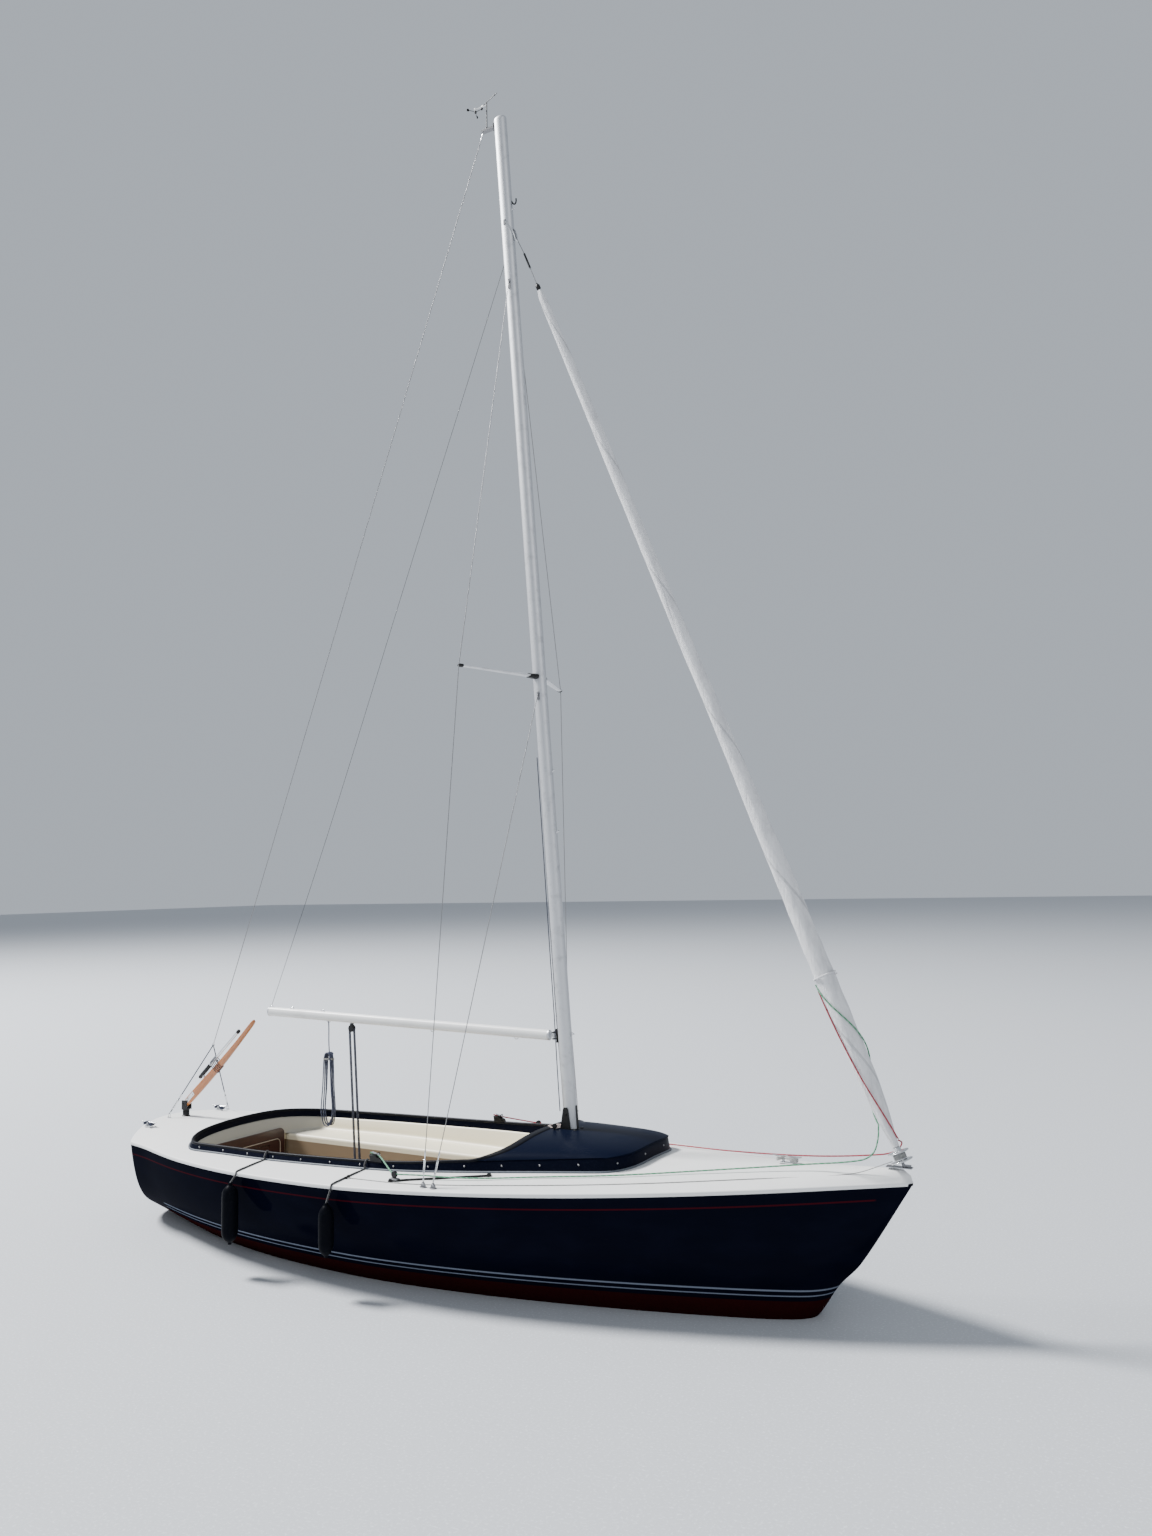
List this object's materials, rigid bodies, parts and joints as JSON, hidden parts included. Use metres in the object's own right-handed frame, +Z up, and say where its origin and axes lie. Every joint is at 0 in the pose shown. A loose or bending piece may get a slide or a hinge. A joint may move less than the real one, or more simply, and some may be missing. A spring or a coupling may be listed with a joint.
{
  "type": "open day-sailing keelboat",
  "caption": "Open day-sailing keelboat afloat, with a furled jib, bare boom, cuddy, tiller and fixed keel; rudder, boom, furler and wind sensor turn.",
  "frame": {"origin": "on the waterline, amidships, on the centreline", "axes": "+X to the bow, +Y to port, +Z up; the hull floats upright with the waterline at z = 0"},
  "size_m": [6.4485, 2.2715, 9.589],
  "materials": {
    "hull_gelcoat": "glossy navy with dark red antifouling below, two white boot lines and a red cove line",
    "deck_gelcoat": "white, slightly chalky, fine non-slip grain",
    "liner_gelcoat": "cream moulded liner, satin",
    "band_gelcoat": "navy, satin, with metal snap studs",
    "cuddy_gelcoat": "navy, glossy, lightly hazed",
    "mahogany": "dark red-brown, varnished, fine grain",
    "varnished_wood": "laminated, orange-brown, clear varnish",
    "antifouled_iron": "dark red antifouling, matt",
    "antifouled_blade": "dark red antifouling, matt",
    "black_fitting": "black, satin, worn at the edges",
    "extension_tube": "anodised tube",
    "mast_aluminium": "anodised, matt, faint drawing lines",
    "wire": "laid stainless wire",
    "stainless": "polished stainless steel, light haze",
    "sailcloth": "off-white woven sailcloth, rolled, creased, slightly grey",
    "boom_paint": "white enamel, slightly worn",
    "rope": "braided, blue and white",
    "fender_vinyl": "navy-black, satin, scuffed"
  },
  "bodies": {
    "root": {"hull": "hull_gelcoat", "deck": "deck_gelcoat", "cockpit_liner": "liner_gelcoat", "locker_panel": "mahogany", "coaming": "band_gelcoat", "cuddy": "cuddy_gelcoat", "keel": "antifouled_iron", "skeg": "antifouled_iron", "mast": "mast_aluminium", "mast_step": "black_fitting", "masthead_crane": "mast_aluminium", "spreader_starboard": "mast_aluminium", "spreader_port": "mast_aluminium", "upper_shroud_starboard": "wire", "upper_shroud_port": "wire", "lower_shroud_starboard": "wire", "lower_shroud_port": "wire", "chainplate_starboard": "stainless", "chainplate_port": "stainless", "backstay": "wire", "halyard_swivel": "black_fitting", "forestay_head": "wire", "stemhead_fitting": "stainless", "gooseneck": "stainless", "mainsheet_base": "black_fitting", "bow_cleat": "stainless", "stern_cleat_starboard": "stainless", "stern_cleat_port": "stainless", "sheet_lead_starboard": "black_fitting", "sheet_lead_port": "black_fitting", "sheet_cleat_starboard": "black_fitting", "sheet_cleat_port": "black_fitting", "transom_bracket": "stainless", "fender_aft": "fender_vinyl", "fender_mid": "fender_vinyl", "sensor_stalk": "black_fitting"},
    "rudder": {"rudder": "antifouled_blade", "rudder_head": "black_fitting"},
    "tiller": {"tiller": "varnished_wood", "tiller_extension": "extension_tube"},
    "boom": {"boom": "boom_paint", "mainsheet_block": "black_fitting", "rope_coil": "rope", "rope_hanger": "rope"},
    "furler": {"furled_jib": "sailcloth", "furler_drum": "stainless"},
    "locker_door": {"locker_door": "mahogany"},
    "cups": {"wind_cups": "black_fitting"},
    "vane": {"wind_vane": "black_fitting"}
  },
  "joints": [
    {"name": "rudder_turn", "type": "hinge", "parent": "root", "child": "rudder", "pos_m": [-2.95, 0, 0.8], "axis": [0, 0, 1], "range_deg": [-38, 38]},
    {"name": "tiller_lift", "type": "hinge", "parent": "rudder", "child": "tiller", "pos_m": [-2.95, 0, 0.862], "axis": [0, 1, 0], "range_deg": [0, 35]},
    {"name": "boom_swing", "type": "hinge", "parent": "root", "child": "boom", "pos_m": [0.758, 0, 1.609], "axis": [-0.0617, 0, 0.9981], "range_deg": [-60, 60]},
    {"name": "furler_turn", "type": "hinge", "parent": "root", "child": "furler", "pos_m": [3.215, 0, 0.9], "axis": [-0.3677, 0, 0.9299], "continuous": true},
    {"name": "locker_door_open", "type": "hinge", "parent": "root", "child": "locker_door", "pos_m": [-2.1985, 0, 0.312], "axis": [0, 1, 0], "range_deg": [0, 80]},
    {"name": "cups_spin", "type": "hinge", "parent": "root", "child": "cups", "pos_m": [0.182, 0, 8.785], "axis": [0, 0, 1], "continuous": true},
    {"name": "vane_turn", "type": "hinge", "parent": "root", "child": "vane", "pos_m": [0.288, 0, 8.815], "axis": [0, 0, 1], "continuous": true}
  ]
}
